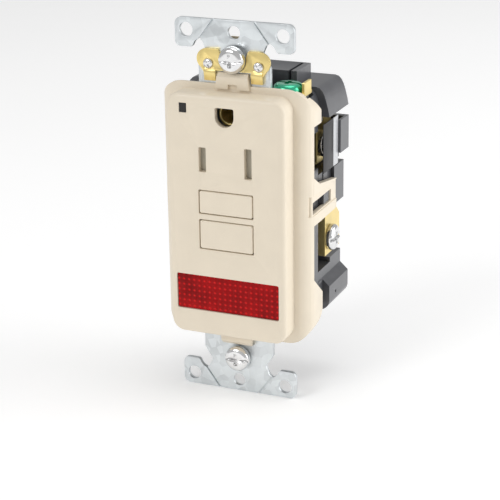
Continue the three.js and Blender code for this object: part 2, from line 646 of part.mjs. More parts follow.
function solenoidBobbin() {
  const [low, high] = COIL.z;
  const centre = [0, COIL.y];
  const flanges = [[low, low + 0.8], [high - 0.8, high]].map((z) => rod("z", centre, z, 5.3));
  return cut(join(flanges, rod("z", centre, COIL.z, 2.8)), rod("z", centre, [0, 20], 2.15));
}

const solenoidCoil = () => ring("z", [0, COIL.y], [COIL.z[0] + 0.9, COIL.z[1] - 0.9], COIL.radius, 2.9);

const solenoidPlunger = () => rod("z", [0, COIL.y], [-0.4, 15.5], 1.9);

const plungerSpring = () => coilSpring(
  (t, a) => vector(2.6 * Math.cos(a), COIL.y + 2.6 * Math.sin(a), 0.1 + 2 * t), 3, 0.25);

function latchPlate() {
  const plate = block([-3.6, 3.6], [13.8, 14.6], [-8.6, -0.6]);
  const tail = block([-1.6, 1.6], [13.8, 19.4], [-1.4, -0.6]);
  const stroke = 1.6;
  const keyhole = join(rod("y", [0, PIN.z], [13, 15], 1.5), rod("y", [0, PIN.z - stroke], [13, 15], 1.5),
    block([-1.5, 1.5], [13, 15], [PIN.z - stroke, PIN.z]));
  return cut(join(plate, tail), keyhole);
}

function contactLifter() {
  const wings = block([-12.1, 12.1], [11.6, 13.2], [-3, 2]);
  const hub = block([-4.6, 4.6], [11.6, 13.4], [-9, 2]);
  return cut(join(wings, hub), rod("y", [0, PIN.z], [11, 14], 1.5));
}

const circuitBoard = () => block([-BOARD.halfWidth, BOARD.halfWidth], BOARD.y, BOARD.z);
const varistor = () => rod("y", [6.6, 24.6], [19.4, 23.6], 3.6, SIDES.head);
const capacitor = () => block([-11, -4], [17, 23.6], [21.5, 28]);
const controlChip = () => block([-9.6, -5.4], [21.9, 23.6], [-8.6, 0.4]);
const thyristor = () => block([5.6, 10.2], [20, 23.6], [-8, -3.6]);

// ---------- assembly ----------

const group = new THREE.Group();

// Adds a named mesh of a solid to a group.
function piece(name, made, look, parent = group) {
  const { numProp, vertProperties, triVerts } = made.getMesh();
  const geometry = new THREE.BufferGeometry();
  geometry.setAttribute("position", new THREE.BufferAttribute(vertProperties, numProp));
  geometry.setIndex(new THREE.BufferAttribute(triVerts, 1));
  geometry.computeVertexNormals();
  const mesh = new THREE.Mesh(geometry, new THREE.MeshStandardMaterial(look));
  mesh.name = name;
  parent.add(mesh);
}

piece("face_cover", faceCover(), IVORY);
piece("mounting_strap", mountingStrap(), ZINC);
piece("middle_housing", middleHousing(), BLACK);
piece("rear_housing", rearHousing(), BLACK);

piece("test_button", testButton(), IVORY);
piece("test_contact_blade", testBlade(), BRASS);
piece("reset_button", resetButton(), IVORY);
piece("reset_pin", resetPin(), STEEL);
piece("reset_spring", resetSpring(), STEEL);

piece("pilot_lens", pilotLens(), RED);
piece("pilot_reflector", pilotReflector(), WHITE);
piece("pilot_lamp", pilotLamp(), WHITE);
piece("status_light_pipe", statusPipe(), CLEAR);
piece("status_led", statusLed(), WHITE);

piece("shutter_frame", shutterFrame(), BLACK);
piece("left_shutter", shutter(-1), GREY);
piece("right_shutter", shutter(1), GREY);
piece("shutter_spring", shutterSpring(), STEEL);

piece("hot_contact", faceContact(-1), BRASS);
piece("neutral_contact", faceContact(1), BRASS);
piece("ground_contact", groundContact(), BRASS);
piece("ground_clamp", groundClamp(), BRASS);
piece("ground_screw", groundScrew(), GREEN);

for (const [pole, side, metal] of [["neutral", 1, STEEL], ["hot", -1, BRASS]]) {
  piece(`line_${pole}_terminal`, lineTerminal(side), BRASS);
  piece(`line_${pole}_clamp`, wireClamp(side, TERMINAL.line, LINE_HEAD), BRASS);
  piece(`line_${pole}_screw`, terminalScrew(side, TERMINAL.line, LINE_HEAD), metal);
  piece(`load_${pole}_terminal`, loadTerminal(side), BRASS);
  piece(`load_${pole}_clamp`, wireClamp(side, TERMINAL.load, LOAD_HEAD), BRASS);
  piece(`load_${pole}_screw`, terminalScrew(side, TERMINAL.load, LOAD_HEAD), metal);
  piece(`load_${pole}_tape`, loadTape(side), GREY);
  piece(`${pole}_contact_arm`, contactArm(side), COPPER);
}

piece("self_grounding_clip", groundingClip(), BRASS);
piece("clip_rivet_right", clipRivet(1), BRASS);
piece("clip_rivet_left", clipRivet(-1), BRASS);
piece("mounting_screw_top", mountingScrew(1, -1.95), STEEL);
piece("mounting_screw_bottom", mountingScrew(-1, -1.3), STEEL);
piece("screw_washer_top", screwWasher(1), FIBRE);
piece("screw_washer_bottom", screwWasher(-1), FIBRE);

piece("circuit_board", circuitBoard(), BOARD_GREEN);
piece("sense_transformer", toroid(12.3), FERRITE);
piece("grounded_neutral_transformer", toroid(17.2), FERRITE);
piece("transformer_boat", transformerBoat(), NYLON);
piece("solenoid_bobbin", solenoidBobbin(), NYLON);
piece("solenoid_coil", solenoidCoil(), COPPER);
piece("solenoid_plunger", solenoidPlunger(), STEEL);
piece("plunger_spring", plungerSpring(), STEEL);
piece("latch_plate", latchPlate(), STEEL);
piece("contact_lifter", contactLifter(), WHITE);
piece("varistor", varistor(), BLUE);
piece("capacitor", capacitor(), RED);
piece("control_chip", controlChip(), BLACK);
piece("thyristor", thyristor(), BLACK);

export default group;
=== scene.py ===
"""Looks for a ground-fault receptacle with a pilot light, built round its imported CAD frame.

Shapes are written in millimetres in the part's own frame (+X right seen from the front,
+Z up, the front faces -Y) and scaled to metres when each piece is finished.
"""
import math

import bmesh
import bpy
from mathutils import Matrix, Vector


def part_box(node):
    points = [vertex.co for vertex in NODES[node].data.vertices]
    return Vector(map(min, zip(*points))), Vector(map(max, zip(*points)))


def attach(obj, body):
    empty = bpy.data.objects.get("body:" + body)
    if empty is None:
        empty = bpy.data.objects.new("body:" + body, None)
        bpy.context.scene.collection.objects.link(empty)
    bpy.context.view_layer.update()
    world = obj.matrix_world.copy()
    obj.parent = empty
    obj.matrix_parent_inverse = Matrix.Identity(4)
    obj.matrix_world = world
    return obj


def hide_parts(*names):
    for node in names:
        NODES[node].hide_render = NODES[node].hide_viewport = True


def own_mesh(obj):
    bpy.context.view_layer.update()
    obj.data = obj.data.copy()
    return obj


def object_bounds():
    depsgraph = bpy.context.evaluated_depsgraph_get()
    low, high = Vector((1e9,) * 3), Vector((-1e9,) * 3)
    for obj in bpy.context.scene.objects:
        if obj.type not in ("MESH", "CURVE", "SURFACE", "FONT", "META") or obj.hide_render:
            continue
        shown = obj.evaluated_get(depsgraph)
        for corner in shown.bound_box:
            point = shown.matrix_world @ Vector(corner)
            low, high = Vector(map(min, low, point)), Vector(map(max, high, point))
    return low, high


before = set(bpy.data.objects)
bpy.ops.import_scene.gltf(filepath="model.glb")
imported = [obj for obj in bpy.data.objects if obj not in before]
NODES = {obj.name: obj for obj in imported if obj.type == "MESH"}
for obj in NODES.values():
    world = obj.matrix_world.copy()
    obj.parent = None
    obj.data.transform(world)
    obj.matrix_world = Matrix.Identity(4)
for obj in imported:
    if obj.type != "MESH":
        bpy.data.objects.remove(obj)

CAD_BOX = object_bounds()
MM = 0.001
PASS = 1.0  # how far a cutter runs past the face it cuts

# How finely round shapes are divided.
ROD_STEPS = 48
TURNED_STEPS = 56
RIM_STEPS = 6
WIRE_SIDES = 12
COIL_STEPS = 28
THREAD = {"depth": 0.28, "sides": 24, "per_turn": 6}
EDGE_SEGMENTS = 2
SMOOTH_ANGLE = 32  # degrees between faces above which an edge stays sharp


# ---------- sizes read from the frame, in millimetres ----------

def extent(node):
    """((x0, x1), (y0, y1), (z0, z1)) of a CAD node in millimetres."""
    low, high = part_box(node)
    return tuple((low[i] / MM, high[i] / MM) for i in range(3))


COVER = extent("face_cover")
REAR = extent("rear_housing")
FACE = {"half_width": 16.6, "half_height": 33.2, "corner": 3.5, "rim": 1.0, "wall": 1.6}
FACE_FRONT = COVER[1][0]
FLANGE = {"corner": 6.5, "roll": 3.6, "front": -2.0, "wall": 1.5, "half_height": 34.9}
STRAP_FRONT = -1.2
BOX_SCREW_Z = 41.65
WALLPLATE_Z = 48.4
EAR_HOLE = (13.5, 48.4)
RIVET = (7.05, 40.1)
GROUND_SCREW_AT = (12.5, 5)
BLADE_Z = 15.9
GROUND_HOLE = {"z": 27.75, "radius": 2.65, "flat": 2.45, "corner": 0.5}
PIN_Z = -4.65
TERMINAL_Y = 17.5
LINE_Z = -10.4
LOAD_Z = 15.9


# ---------- solids ----------

def arc(centre, radius, start, end, steps):
    """Points along an arc, angles in degrees."""
    angles = [math.radians(start + (end - start) * i / steps) for i in range(steps + 1)]
    return [(centre[0] + radius * math.cos(a), centre[1] + radius * math.sin(a)) for a in angles]


def rounded(a, b, radius, steps=12):
    """A rectangle with rounded corners, from ranges across and up."""
    corners = [(a[1], b[0], -90), (a[1], b[1], 0), (a[0], b[1], 90), (a[0], b[0], 180)]
    points = []
    for x, y, start in corners:
        centre = (x - math.copysign(radius, x - sum(a) / 2), y - math.copysign(radius, y - sum(b) / 2))
        points += arc(centre, radius, start, start + 90, steps)
    return points


def circle(centre, radius, steps):
    """A full circle of points, the last one a step short of the first."""
    return arc(centre, radius, 0, 360 * (steps - 1) / steps, steps - 1)


def place(axis, point, at):
    """A point of an outline, set at a height along an axis."""
    u, v = point
    return {"x": (at, u, v), "y": (u, at, v), "z": (u, v, at)}[axis]


def solid(rings):
    """A closed mesh through rings of points, capped at both ends."""
    bm = bmesh.new()
    loops = [[bm.verts.new(p) for p in ring] for ring in rings]
    count = len(loops[0])
    for a, b in zip(loops, loops[1:]):
        for i in range(count):
            j = (i + 1) % count
            bm.faces.new((a[i], a[j], b[j], b[i]))
    bm.faces.new(loops[0][::-1])
    bm.faces.new(loops[-1])
    bmesh.ops.remove_doubles(bm, verts=bm.verts, dist=1e-5)
    bmesh.ops.recalc_face_normals(bm, faces=bm.faces)
    mesh = bpy.data.meshes.new("solid")
    bm.to_mesh(mesh)
    bm.free()
    made = bpy.data.objects.new("solid", mesh)
    bpy.context.scene.collection.objects.link(made)
    return made


def slab(axis, outline, span):
    """An outline made thick along an axis."""
    return solid([[place(axis, p, at) for p in outline] for at in span])


def block(x, y, z):
    return slab("z", [(x[0], y[0]), (x[1], y[0]), (x[1], y[1]), (x[0], y[1])], z)


def rod(axis, centre, span, radius):
    return slab(axis, circle(centre, radius, ROD_STEPS), span)


def cushion(axis, a, b, corner, span, rim):
    """A rounded rectangle whose edge at the start of its span is rolled over by rim."""
    rings = []
    way = math.copysign(1, span[1] - span[0])
    for i in range(RIM_STEPS + 1):
        angle = math.radians(90 * i / RIM_STEPS)
        inset = rim * (1 - math.sin(angle))
        height = span[0] + way * rim * (1 - math.cos(angle))
        outline = rounded((a[0] + inset, a[1] - inset), (b[0] + inset, b[1] - inset),
                          max(corner - inset, 0.05))
        rings.append([place(axis, p, height) for p in outline])
    rings.append([place(axis, p, span[1]) for p in rounded(a, b, corner)])
    return solid(rings)


def turned(axis, centre, profile):
    """A turned piece: profile points are (radius, distance along the axis)."""
    rings = []
    for radius, at in profile:
        rings.append([place(axis, p, at) for p in circle(centre, max(radius, 1e-6), TURNED_STEPS)])
    return solid(rings)


def threaded(axis, centre, span, radius, pitch):
    """A screw shank whose surface follows a real helix."""
    depth, sides, per_turn = THREAD["depth"], THREAD["sides"], THREAD["per_turn"]
    length = span[1] - span[0]
    count = max(2, int(abs(length) / pitch * per_turn))
    rings = []
    for i in range(count + 1):
        at = span[0] + length * i / count
        ring = []
        taper = min(1.0, 0.55 + 0.45 * min(i, count - i) / per_turn)
        for k in range(sides):
            phase = (at / pitch - k / sides) % 1.0
            crest = abs(2 * phase - 1)
            local = (radius - depth * crest) * taper
            angle = 2 * math.pi * k / sides
            point = (centre[0] + local * math.cos(angle), centre[1] + local * math.sin(angle))
            ring.append(place(axis, point, at))
        rings.append(ring)
    return solid(rings)


def wire(path, radius):
    """A round wire along a list of points."""
    points = [Vector(p) for p in path]
    rings = []
    aside = Vector((0.3, 0.5, 0.8))
    for i, point in enumerate(points):
        ahead = points[min(i + 1, len(points) - 1)] - points[max(i - 1, 0)]
        ahead.normalize()
        aside = (aside - ahead * aside.dot(ahead)).normalized()
        other = ahead.cross(aside)
        rings.append([point + radius * (aside * math.cos(t) + other * math.sin(t))
                      for t in (2 * math.pi * k / WIRE_SIDES for k in range(WIRE_SIDES))])
    return solid(rings)


def combine(base, others, operation):
    """Applies a boolean with each of the others in turn and removes them."""
    for other in others:
        modifier = base.modifiers.new("combine", "BOOLEAN")
        modifier.operation = operation
        modifier.solver = "EXACT"
        modifier.object = other
    bake(base)
    for other in others:
        bpy.data.objects.remove(other)
    return base


def bake(piece):
    """Makes a piece's modifiers part of its mesh."""
    bpy.context.view_layer.update()
    graph = bpy.context.evaluated_depsgraph_get()
    made = bpy.data.meshes.new_from_object(piece.evaluated_get(graph))
    piece.modifiers.clear()
    piece.data = made


def cut(base, *others):
    return combine(base, others, "DIFFERENCE")


def join(base, *others):
    return combine(base, others, "UNION")


def common(base, *others):
    return combine(base, others, "INTERSECT")


def across(side, span):
    """A range along X, mirrored to the left when side is -1."""
    return span if side > 0 else (-span[1], -span[0])


# ---------- materials ----------

def look(name, color, roughness, metallic=0.0, vary=0.06, grain=900, bump=0.05, coat=0.0,
         cells=None, brushed=None):
    """A procedural finish: mottled colour, uneven roughness and a fine surface relief."""
    material = bpy.data.materials.new(name)
    material.use_nodes = True
    tree = material.node_tree
    shader = tree.nodes["Principled BSDF"]
    where = tree.nodes.new("ShaderNodeTexCoord").outputs["Object"]
    if brushed:
        stretch = tree.nodes.new("ShaderNodeMapping")
        stretch.inputs["Scale"].default_value = brushed
        tree.links.new(where, stretch.inputs["Vector"])
        where = stretch.outputs["Vector"]
    mottle = tree.nodes.new("ShaderNodeTexNoise")
    mottle.inputs["Scale"].default_value = grain * 0.3
    mottle.inputs["Detail"].default_value = 4
    tree.links.new(where, mottle.inputs["Vector"])
    pattern = mottle.outputs["Fac"]
    if cells:
        spangle = tree.nodes.new("ShaderNodeTexVoronoi")
        spangle.inputs["Scale"].default_value = cells
        tree.links.new(where, spangle.inputs["Vector"])
        mixed = tree.nodes.new("ShaderNodeMath")
        mixed.operation = "MULTIPLY_ADD"
        mixed.inputs[1].default_value = 0.5
        tree.links.new(spangle.outputs["Color"], mixed.inputs[0])
        halved = tree.nodes.new("ShaderNodeMath")
        halved.operation = "MULTIPLY"
        halved.inputs[1].default_value = 0.5
        tree.links.new(pattern, halved.inputs[0])
        tree.links.new(halved.outputs[0], mixed.inputs[2])
        pattern = mixed.outputs[0]
    ramp = tree.nodes.new("ShaderNodeValToRGB")
    ramp.color_ramp.elements[0].position = 0.3
    ramp.color_ramp.elements[1].position = 0.7
    ramp.color_ramp.elements[0].color = [c * (1 - vary) for c in color] + [1]
    ramp.color_ramp.elements[1].color = [min(1, c * (1 + vary)) for c in color] + [1]
    tree.links.new(pattern, ramp.inputs["Fac"])
    tree.links.new(ramp.outputs["Color"], shader.inputs["Base Color"])
    spread = tree.nodes.new("ShaderNodeMapRange")
    spread.inputs["To Min"].default_value = max(0.02, roughness - 0.07)
    spread.inputs["To Max"].default_value = min(1, roughness + 0.07)
    tree.links.new(pattern, spread.inputs["Value"])
    tree.links.new(spread.outputs["Result"], shader.inputs["Roughness"])
    fine = tree.nodes.new("ShaderNodeTexNoise")
    fine.inputs["Scale"].default_value = grain * 3
    tree.links.new(where, fine.inputs["Vector"])
    relief = tree.nodes.new("ShaderNodeBump")
    relief.inputs["Strength"].default_value = bump
    relief.inputs["Distance"].default_value = 0.0001
    tree.links.new(fine.outputs["Fac"], relief.inputs["Height"])
    tree.links.new(relief.outputs["Normal"], shader.inputs["Normal"])
    shader.inputs["Metallic"].default_value = metallic
    shader.inputs["Coat Weight"].default_value = coat
    shader.inputs["Coat Roughness"].default_value = 0.08
    return material


def lens_look():
    """Clear red plastic with a grid of brighter red spots painted into its colour as painted highlights,
    where the prisms catch the light.
    """
    material = look("clear_red", (0.30, 0.001, 0.002), 0.25, vary=0.4, grain=400, bump=0.02, coat=0.04)
    tree = material.node_tree
    shader = tree.nodes["Principled BSDF"]
    ramp = shader.inputs["Base Color"].links[0].from_socket
    parts = tree.nodes.new("ShaderNodeSeparateXYZ")
    tree.links.new(tree.nodes.new("ShaderNodeTexCoord").outputs["Object"], parts.inputs[0])
    squares = []
    for axis, offset in (("X", 0.0), ("Z", 0.5)):
        scaled = tree.nodes.new("ShaderNodeMath")
        scaled.operation = "MULTIPLY_ADD"
        scaled.inputs[1].default_value = 1 / (LENS_PITCH * MM)
        scaled.inputs[2].default_value = offset
        tree.links.new(parts.outputs[axis], scaled.inputs[0])
        wave = tree.nodes.new("ShaderNodeMath")
        wave.operation = "PINGPONG"
        wave.inputs[1].default_value = 0.5
        tree.links.new(scaled.outputs[0], wave.inputs[0])
        squares.append(wave.outputs[0])
    product = tree.nodes.new("ShaderNodeMath")
    product.operation = "MULTIPLY"
    tree.links.new(squares[0], product.inputs[0])
    tree.links.new(squares[1], product.inputs[1])
    painted_highlight_spots = tree.nodes.new("ShaderNodeMapRange")
    painted_highlight_spots.inputs["From Min"].default_value = 0.08
    painted_highlight_spots.inputs["From Max"].default_value = 0.22
    tree.links.new(product.outputs[0], painted_highlight_spots.inputs["Value"])
    # Painted highlight: the middle of each prism is coloured brighter red, where it would catch the
    # light.
    mix = tree.nodes.new("ShaderNodeMix")
    mix.data_type = "RGBA"
    mix.inputs["B"].default_value = (0.7, 0.008, 0.008, 1)
    tree.links.new(painted_highlight_spots.outputs["Result"], mix.inputs["Factor"])
    tree.links.new(ramp, mix.inputs["A"])
    tree.links.new(mix.outputs["Result"], shader.inputs["Base Color"])
    shader.inputs["Specular IOR Level"].default_value = 0.12
    return material


LENS_PITCH = 1.5
LENS = {"half_width": 14.65, "z": (-26.3, -16.5), "columns": 18, "rows": 6}

LOOKS = {
    "ivory": look("moulded_ivory", (0.80, 0.71, 0.57), 0.42, vary=0.02, grain=500, bump=0.06, coat=0.15),
    "black": look("moulded_black", (0.07, 0.072, 0.08), 0.34, vary=0.15, grain=900, bump=0.16, coat=0.4),
    "zinc": look("zinc_plate", (0.69, 0.725, 0.74), 0.34, 0.85, vary=0.10, grain=700, bump=0.05,
                 cells=420),
    "chrome": look("bright_plate", (0.80, 0.80, 0.80), 0.17, 1.0, vary=0.08, grain=900, bump=0.05),
    "steel": look("plain_steel", (0.60, 0.60, 0.60), 0.30, 1.0, vary=0.08, brushed=(1, 1, 0.1)),
    "spring": look("drawn_wire", (0.62, 0.62, 0.63), 0.25, 1.0),
    "brass": look("stamped_brass", (0.88, 0.70, 0.29), 0.30, 0.85, vary=0.10, grain=600, bump=0.06),
    "brass_turned": look("turned_brass", (0.80, 0.58, 0.22), 0.22, 1.0, vary=0.08, grain=900),
    "copper": look("copper_alloy", (0.74, 0.36, 0.18), 0.3, 1.0, vary=0.12),
    "winding": look("enamelled_wire", (0.55, 0.20, 0.07), 0.3, 0.7, vary=0.35, brushed=(0.2, 0.2, 6)),
    "green": look("green_plate", (0.03, 0.5, 0.28), 0.2, 0.7, vary=0.2, coat=0.9),
    "guide": look("smoked_guide", (0.010, 0.009, 0.008), 0.5),
    "white": look("moulded_white", (0.82, 0.82, 0.79), 0.5, vary=0.03),
    "glass": look("lamp_glass", (0.9, 0.75, 0.6), 0.08, coat=1.0),
    "grey": look("moulded_grey", (0.40, 0.37, 0.30), 0.5, vary=0.06),
    # Near black as painted shade: the front of the load tape stands in for the shadow in the load bay;
    # the pale strip keeps the tape's grey.
    "film": look("painted_shade_film", (0.010, 0.010, 0.012), 0.45, vary=0.3, grain=160, bump=0.5),
    "strip": look("pale_strip", (0.55, 0.56, 0.58), 0.3, vary=0.05, coat=0.4),
    "nylon": look("nylon", (0.76, 0.73, 0.64), 0.45, vary=0.04),
    "fibre": look("pressed_fibre", (0.42, 0.36, 0.26), 0.9, vary=0.25, bump=0.4),
    "board": look("circuit_laminate", (0.03, 0.22, 0.08), 0.35, vary=0.25, coat=0.4, cells=260),
    "ferrite": look("coated_core", (0.05, 0.055, 0.065), 0.6, vary=0.25, bump=0.3),
    "blue": look("dipped_blue", (0.03, 0.12, 0.42), 0.3, coat=0.6),
    "red_dip": look("dipped_red", (0.42, 0.04, 0.02), 0.35, coat=0.5),
    "chip": look("moulded_chip", (0.02, 0.02, 0.02), 0.45),
    "lens": lens_look(),
}


# ---------- finishing ----------

def soften(piece, width, angle=40):
    """Rounds the edges sharper than an angle in degrees, unless the width is zero."""
    if width:
        edge = piece.modifiers.new("edge", "BEVEL")
        edge.width = width * MM
        edge.segments = EDGE_SEGMENTS
        edge.limit_method = "ANGLE"
        edge.angle_limit = math.radians(angle)
        edge.harden_normals = False
        edge.use_clamp_overlap = True


def smooth(mesh):
    mesh.polygons.foreach_set("use_smooth", [True] * len(mesh.polygons))
    mesh.set_sharp_from_angle(angle=math.radians(SMOOTH_ANGLE))


def finish(piece, name, body, slot_name, look_name, *replaced, edge, angle=40):
    """Names a piece, gives it its finish and lets it ride on its body in place of CAD nodes."""
    piece.data.transform(Matrix.Scale(MM, 4))
    piece.name = name
    piece.data.name = name
    piece.data.materials.clear()
    piece.data.materials.append(LOOKS[look_name])
    soften(piece, edge, angle)
    bake(piece)
    smooth(piece.data)
    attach(piece, body)
    if replaced:
        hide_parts(*replaced)


def dress(node, look_name, edge):
    """A CAD node that stays: it gets a finish and softened edges."""
    piece = NODES[node]
    piece.data.materials.clear()
    piece.data.materials.append(LOOKS[look_name])
    weld = piece.modifiers.new("weld", "WELD")
    weld.merge_threshold = 1e-6
    soften(piece, edge)
    normals = piece.modifiers.new("normals", "WEIGHTED_NORMAL")
    normals.keep_sharp = True


# ---------- cover ----------

def cover_side():
    """The cover's side wall seen from the side: notches at the terminals, a snap leg between."""
    return [
        (-3, 35), (-1.2, 34.9), (6.2, 28.3), (6.2, 24.9), (1.1, 24.9), (1.1, 11.1), (5.2, 8.5),
        (17.8, 6.5), (17.8, -1.8), (5, -2), (1.1, -2), (1.1, -17.2), (7.3, -22.5), (7.3, -27.6),
        (5.5, -30.1), (-1.2, -34.9), (-3, -35),
    ]


def flange_section():
    """The flange seen from above: a channel whose front corners are rolled over."""
    half = COVER[0][1]
    roll, front = FLANGE["roll"], FLANGE["front"]
    left = arc((roll - half, front + roll), roll, 180, 270, 16)
    right = arc((half - roll, front + roll), roll, 270, 360, 16)
    return [(-half, 18.6)] + left + right + [(half, 18.6)]


def strap_tab(up):
    """The tab that lies over the strap; the upper one is longer and has a small window."""
    root = FLANGE["half_height"] - 1
    tip = FLANGE["half_height"] + 3.7 - (0.6 if up > 0 else 1)
    outline = [(-2.9, up * root), (-1.3, up * root), (-1.3, up * tip), (-1.9, up * tip),
               (-2.9, up * (tip - 0.95))]
    tab = slab("x", outline, (-4.75, 4.75))
    trim = []
    for side in (1, -1):
        wedge = [(side * 4.75, up * root), (side * 6, up * root), (side * 6, up * (tip + 1)),
                 (side * 4.1, up * (tip + 1))]
        trim.append(slab("y", wedge, (-4, 0)))
    if up > 0:
        trim.append(block((-1.2, 1.4), (-4, 0), (33.85, 35.15)))
    return cut(tab, *trim)


def cover_openings():
    """Cutters for the slots, the ground hole, the buttons, the lens and the status window."""
    deep = (FACE_FRONT - PASS, FACE_FRONT + FACE["wall"] + PASS)

    def slot(x, half_height):
        return slab("y", rounded((x - 1.05, x + 1.05), (BLADE_Z - half_height, BLADE_Z + half_height),
                                 0.35, 4), deep)

    def window(x, z, corner=0.3):
        return slab("y", rounded(x, z, corner, 4), deep)

    radius, corner = GROUND_HOLE["radius"], GROUND_HOLE["corner"]
    shoulder = GROUND_HOLE["z"] + GROUND_HOLE["flat"] - corner
    ground = slab("y", arc((0, GROUND_HOLE["z"]), radius, 180, 360, 32)
                  + arc((radius - corner, shoulder), corner, 0, 90, 5)
                  + arc((corner - radius, shoulder), corner, 90, 180, 5), deep)
    return [
        slot(-6.45, 3.35), slot(6.45, 4.13), ground,
        window((-7.8, 7.8), (1.0, 7.7)), window((-7.8, 7.8), (-8.8, -0.45)),
        window((-14.75, 14.75), (-26.4, -16.4), 0.5), window((-12.8, -10.65), (28.15, 30.75), 0.15),
    ]


def face_cover():
    half, height = COVER[0][1], FLANGE["half_height"]
    face = cushion("y", (-FACE["half_width"], FACE["half_width"]),
                   (-FACE["half_height"], FACE["half_height"]), FACE["corner"],
                   (FACE_FRONT, FLANGE["front"] + 0.1), FACE["rim"])
    outline = rounded((-half, half), (-height, height), FLANGE["corner"])
    flange = common(slab("z", flange_section(), (-height, height)),
                    slab("y", outline, (-3, 17.8)), slab("x", cover_side(), (-half - 1, half + 1)))
    inside = FACE["half_width"] - FACE["wall"]
    wall = half - FLANGE["wall"]
    hollow = [
        block((-inside, inside), (FACE_FRONT + FACE["wall"], 0), (-31.6, 31.6)),
        block((-17, 17), (STRAP_FRONT - 0.05, 19), (-36, 36)),
        block((-wall, wall), (0.1, 19), (-36, 36)),
    ]
    legs = []
    for side in (1, -1):
        legs.append(block(across(side, (19, 22.2)), (0.6, 14), (1.2, 4.5)))
        legs.append(block(across(side, (20.2, 22.2)), (-3, 0), (0.8, 6.3)))
        legs.append(block(across(side, (20.95, 22.2)), (-1, 19), (0.8, 6.3)))
    cover = join(face, flange)
    cover = cut(cover, *hollow, *cover_openings(), *legs)
    cover = join(cover, strap_tab(1), strap_tab(-1))
    finish(cover, "ivory_cover", "housing", "ivory_plastic", "ivory", "face_cover", edge=0.18, angle=42)


def button_cap(z):
    """A button's visible face, a little proud of the cover."""
    return cushion("y", (-7.5, 7.5), z, 0.5, (FACE_FRONT - 0.15, -4.6), 0.35)


def buttons():
    test = join(button_cap((1.3, 7.4)), block((-8.5, 8.5), (-6.5, -5.4), (1.2, 8.3)),
                rod("y", (3, 4.3), (-4.7, 0.3), 1.3))
    finish(test, "test_cap", "test_button_body", "ivory_plastic", "ivory", "test_button", edge=0.08)
    reset = join(button_cap((-8.5, -0.75)), block((-8.5, 8.5), (-5.3, -4.2), (-9.4, -0.85)))
    reset = cut(reset, rod("y", (0, PIN_Z), (-5.2, -4), 1.3))
    finish(reset, "reset_cap", "reset_body", "ivory_plastic", "ivory", "reset_button", edge=0.08)


def prism_rings(x, z, front, height):
    """One blunt square pyramid on the lens's front, as the rings of a loft."""
    half = LENS_PITCH / 2 - 0.04
    base = [(x - half, front, z - half), (x + half, front, z - half), (x + half, front, z + half),
            (x - half, front, z + half)]
    tip = [(x + (p[0] - x) * 0.25, front - height, z + (p[2] - z) * 0.25) for p in base]
    sunk = [(p[0], front + 0.25, p[2]) for p in base]
    return [sunk, base, tip]


def pilot_lens():
    half, z = LENS["half_width"], LENS["z"]
    front = FACE_FRONT + 0.3
    pane = cushion("y", (-half, half), z, 0.5, (front, -6), 0.15)
    lip = block((-half, half), (-6.5, -5.8), (z[0] - 0.8, z[1] + 0.8))
    made = join(pane, lip)
    finish(made, "red_lens_pane", "housing", "red_lens", "lens", "pilot_lens", edge=0)
    middle = sum(z) / 2
    bm = bmesh.new()
    for i in range(LENS["columns"]):
        for k in range(LENS["rows"]):
            x = (i - (LENS["columns"] - 1) / 2) * LENS_PITCH
            at = middle + (k - (LENS["rows"] - 1) / 2) * LENS_PITCH
            rings = [[bm.verts.new(p) for p in ring] for ring in prism_rings(x, at, front, 0.16)]
            for a, b in zip(rings, rings[1:]):
                for n in range(4):
                    bm.faces.new((a[n], a[(n + 1) % 4], b[(n + 1) % 4], b[n]))
            bm.faces.new(rings[0][::-1])
            bm.faces.new(rings[-1])
    bmesh.ops.recalc_face_normals(bm, faces=bm.faces)
    mesh = bpy.data.meshes.new("prisms")
    bm.to_mesh(mesh)
    bm.free()
    prisms = bpy.data.objects.new("prisms", mesh)
    bpy.context.scene.collection.objects.link(prisms)
    finish(prisms, "red_lens_prisms", "housing", "red_lens", "lens", edge=0)


# ---------- strap and its hardware ----------

def strap_half():
    """The right half of one end of the strap, from the middle line outward and down."""
    ear = arc((14.9, 49.8), 1.8, 90, 0, 8) + [(16.7, 45.6)] + arc((15.2, 45.4), 1.5, 0, -90, 6)
    notch = [(12.2, 43.9), (11.7, 44.3), (11.2, 45.3), (10.6, 45.9), (9.8, 46.3), (8.9, 45.6),
             (8.3, 44.2), (7.9, 43.2)]
    return [(6.0, 51.6)] + ear + notch + [(9.6, 40.7), (10.1, 39.8), (10.1, 33), (14, 33)]


# The line scored in the strap beside each ear, where the ear snaps off.
SCORE = {"half_width": 0.24, "depth": 0.5}


